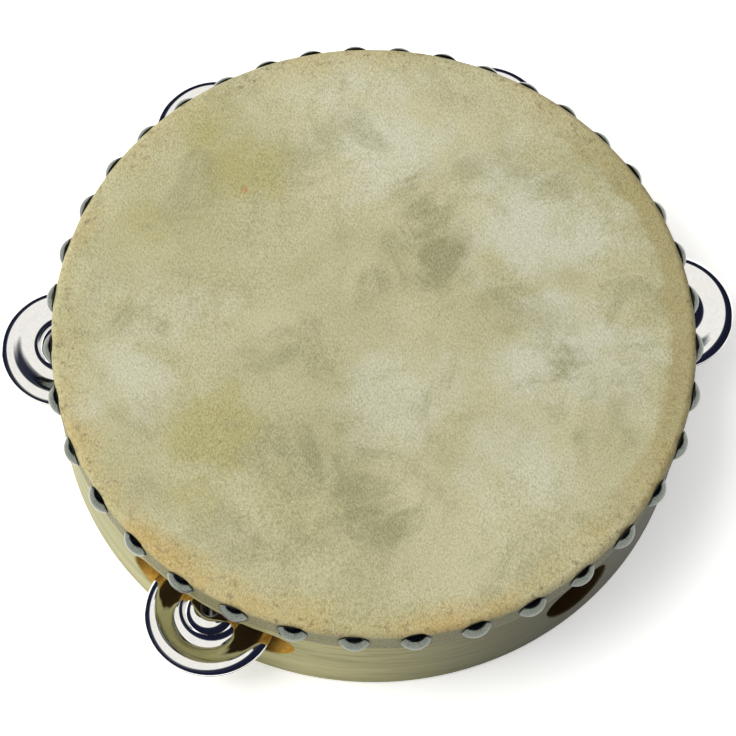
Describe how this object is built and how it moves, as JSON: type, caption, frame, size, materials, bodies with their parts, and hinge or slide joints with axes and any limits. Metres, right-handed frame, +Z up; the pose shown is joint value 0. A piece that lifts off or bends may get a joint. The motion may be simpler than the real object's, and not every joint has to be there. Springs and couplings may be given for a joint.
{
  "type": "tambourine",
  "caption": "Round tacked frame drum: a hide drumhead on a bent wooden hoop, with pairs of domed steel jingles sliding on pins in slots, and a thumb hole.",
  "frame": {"origin": "on the drum's axis, in the plane of the bottom rim", "axes": "+Z up through the skin; +X to the right and -Y to the front, so the jingle stations stand at 7, 62.5, 117.5, 173 and 235 degrees from +X towards +Y and the thumb hole at 305"},
  "size_m": [0.2394, 0.2127, 0.048],
  "materials": {
    "shell_wood": "clear gloss lacquer over pale bent hardwood",
    "goat_skin": "natural untreated hide, mottled, satin",
    "tack_nickel": "bright nickel plate",
    "pin_steel": "drawn wire",
    "jingle_steel": "mirror polished nickel plate"
  },
  "bodies": {
    "shell": {"shell": "shell_wood", "drumhead": "goat_skin", "head_tacks": "tack_nickel", "jingle_pin_1": "pin_steel", "jingle_pin_2": "pin_steel", "jingle_pin_3": "pin_steel", "jingle_pin_4": "pin_steel", "jingle_pin_5": "pin_steel"},
    "lower_jingle_1": {"jingle_1_lower": "jingle_steel"},
    "upper_jingle_1": {"jingle_1_upper": "jingle_steel"},
    "lower_jingle_2": {"jingle_2_lower": "jingle_steel"},
    "upper_jingle_2": {"jingle_2_upper": "jingle_steel"},
    "lower_jingle_3": {"jingle_3_lower": "jingle_steel"},
    "upper_jingle_3": {"jingle_3_upper": "jingle_steel"},
    "lower_jingle_4": {"jingle_4_lower": "jingle_steel"},
    "upper_jingle_4": {"jingle_4_upper": "jingle_steel"},
    "lower_jingle_5": {"jingle_5_lower": "jingle_steel"},
    "upper_jingle_5": {"jingle_5_upper": "jingle_steel"}
  },
  "joints": [
    {"name": "lower_jingle_1_slide", "type": "slide", "parent": "shell", "child": "lower_jingle_1", "axis": [0, 0, 1], "range_m": [0, 0.0027]},
    {"name": "upper_jingle_1_slide", "type": "slide", "parent": "lower_jingle_1", "child": "upper_jingle_1", "axis": [0, 0, 1], "range_m": [0, 0.0027]},
    {"name": "lower_jingle_2_slide", "type": "slide", "parent": "shell", "child": "lower_jingle_2", "axis": [0, 0, 1], "range_m": [0, 0.0027]},
    {"name": "upper_jingle_2_slide", "type": "slide", "parent": "lower_jingle_2", "child": "upper_jingle_2", "axis": [0, 0, 1], "range_m": [0, 0.0027]},
    {"name": "lower_jingle_3_slide", "type": "slide", "parent": "shell", "child": "lower_jingle_3", "axis": [0, 0, 1], "range_m": [0, 0.0027]},
    {"name": "upper_jingle_3_slide", "type": "slide", "parent": "lower_jingle_3", "child": "upper_jingle_3", "axis": [0, 0, 1], "range_m": [0, 0.0027]},
    {"name": "lower_jingle_4_slide", "type": "slide", "parent": "shell", "child": "lower_jingle_4", "axis": [0, 0, 1], "range_m": [0, 0.0027]},
    {"name": "upper_jingle_4_slide", "type": "slide", "parent": "lower_jingle_4", "child": "upper_jingle_4", "axis": [0, 0, 1], "range_m": [0, 0.0027]},
    {"name": "lower_jingle_5_slide", "type": "slide", "parent": "shell", "child": "lower_jingle_5", "axis": [0, 0, 1], "range_m": [0, 0.0027]},
    {"name": "upper_jingle_5_slide", "type": "slide", "parent": "lower_jingle_5", "child": "upper_jingle_5", "axis": [0, 0, 1], "range_m": [0, 0.0027]}
  ]
}
